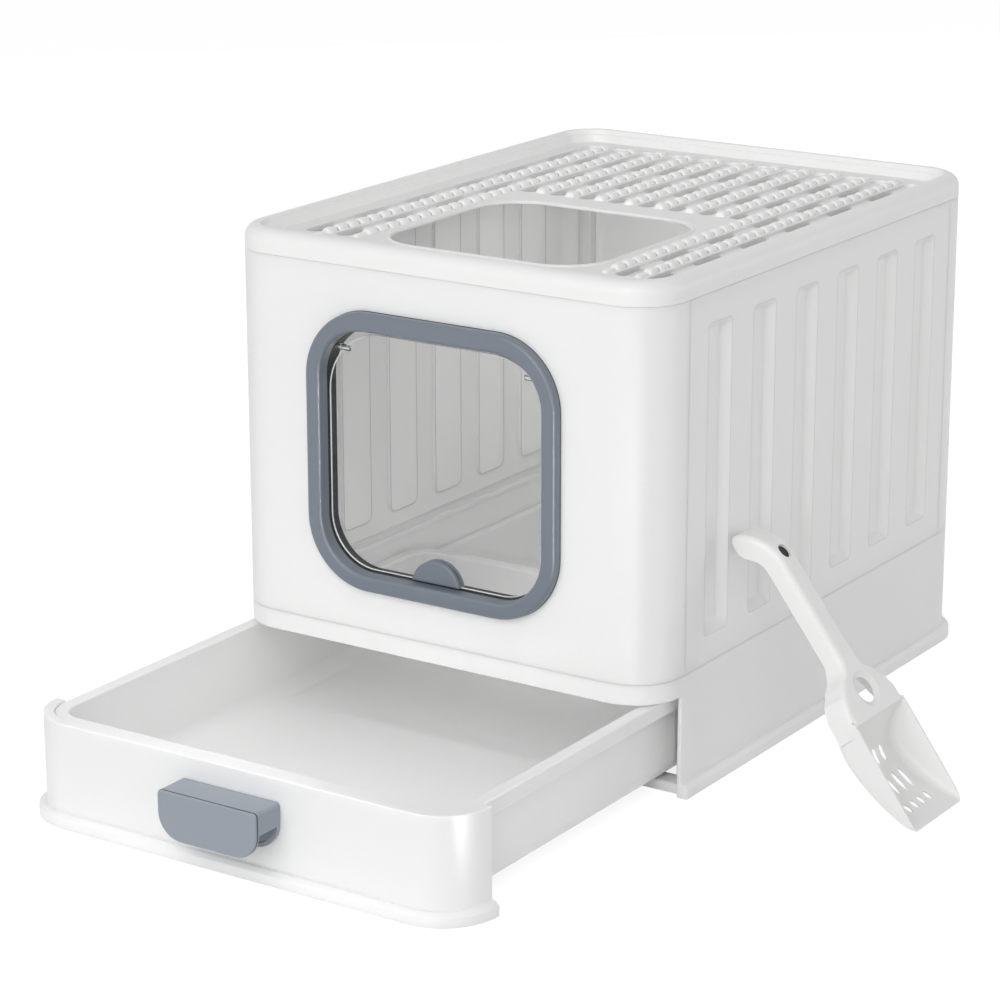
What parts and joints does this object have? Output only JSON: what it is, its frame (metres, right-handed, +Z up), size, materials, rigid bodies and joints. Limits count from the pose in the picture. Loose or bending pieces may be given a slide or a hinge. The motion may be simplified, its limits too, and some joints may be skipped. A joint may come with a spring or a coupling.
{
  "type": "drawer litter box",
  "caption": "Enclosed litter box with a pull-out tray, a clear two-way flap in a raised frame, a slotted lift-off lid with an entry hole, and a scoop.",
  "frame": {"origin": "centre of the housing's footprint on the floor, at the underside of the base's middle cross brace", "axes": "+X to the right seen from the front, +Y from the front to the back, +Z up; -Z is out of the rest face"},
  "size_m": [0.5713, 0.7986, 0.4],
  "materials": {
    "housing_white": "semi-gloss moulded white",
    "panel_white": "semi-gloss moulded white",
    "front_white": "semi-gloss moulded white",
    "tray_white": "semi-gloss moulded white",
    "scoop_white": "semi-gloss moulded white",
    "blue_grey": "satin moulded blue-grey",
    "clear": "clear, slightly tinted",
    "steel": "bright",
    "magnet": "dark sintered magnet"
  },
  "bodies": {
    "housing": {"base_frame": "housing_white", "front_panel": "front_white", "back_panel": "panel_white", "left_panel": "panel_white", "right_panel": "panel_white", "door_bezel": "blue_grey", "door_retainer": "blue_grey", "retainer_screws": "steel", "flap_pin_left": "steel", "flap_pin_right": "steel", "frame_magnet": "magnet"},
    "flap": {"flap": "clear", "flap_grip_front": "blue_grey", "flap_grip_back": "blue_grey", "flap_magnet": "magnet"},
    "lid": {"lid": "housing_white"},
    "drawer": {"litter_tray": "tray_white", "drawer_front": "front_white", "drawer_handle": "blue_grey", "handle_screws": "steel"},
    "scoop": {"scoop": "scoop_white"}
  },
  "joints": [
    {"name": "drawer_slide", "type": "slide", "parent": "housing", "child": "drawer", "axis": [0, -1, 0], "range_m": [-0.2532, 0.17]},
    {"name": "flap_hinge", "type": "hinge", "parent": "housing", "child": "flap", "pos_m": [0, -0.2495, 0.317], "axis": [1, 0, 0], "range_deg": [-75, 75]},
    {"name": "lid_lift", "type": "slide", "parent": "housing", "child": "lid", "axis": [0, 0, 1], "range_m": [0, 0.15]},
    {"name": "scoop_pick_up", "type": "slide", "parent": "housing", "child": "scoop", "axis": [1, 0, 0], "range_m": [0, 0.15]}
  ]
}
